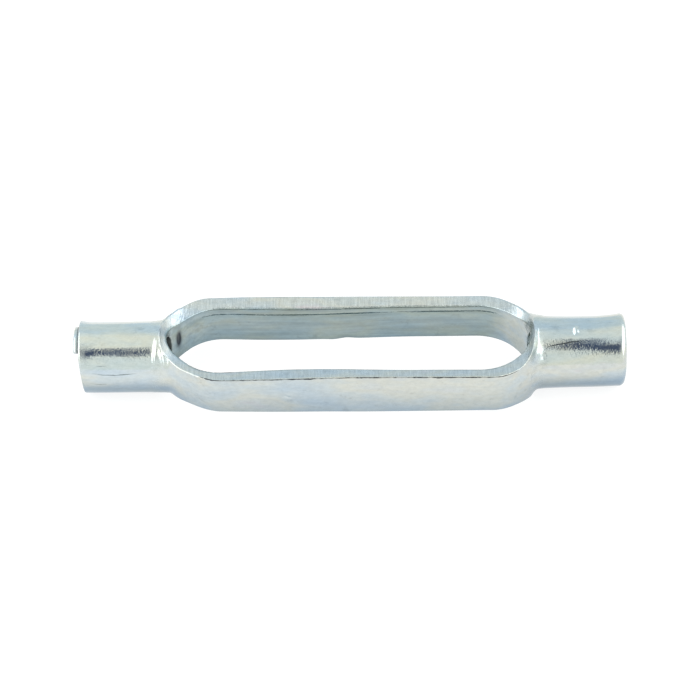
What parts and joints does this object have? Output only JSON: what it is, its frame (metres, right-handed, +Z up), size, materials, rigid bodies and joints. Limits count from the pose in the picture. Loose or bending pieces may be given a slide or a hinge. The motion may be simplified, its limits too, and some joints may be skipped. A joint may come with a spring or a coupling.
{
  "type": "turnbuckle body",
  "caption": "Open-frame rigging turnbuckle body: round threaded bosses of opposite hand joined by side reins around a long open slot, in bright zinc-plated steel.",
  "frame": {"origin": "on the screw axis, midway between the two end faces", "axes": "+X along the screw axis towards the right-hand threaded end, +Y across the reins, +Z up through the open slot"},
  "size_m": [0.111, 0.0252, 0.0151],
  "materials": {
    "zinc_plated_steel": "bright zinc plating with a pale blue passivation, smooth on the bosses and reins, die-marked on the flat edges"
  },
  "bodies": {
    "root": {"turnbuckle_body": "zinc_plated_steel"}
  },
  "joints": []
}
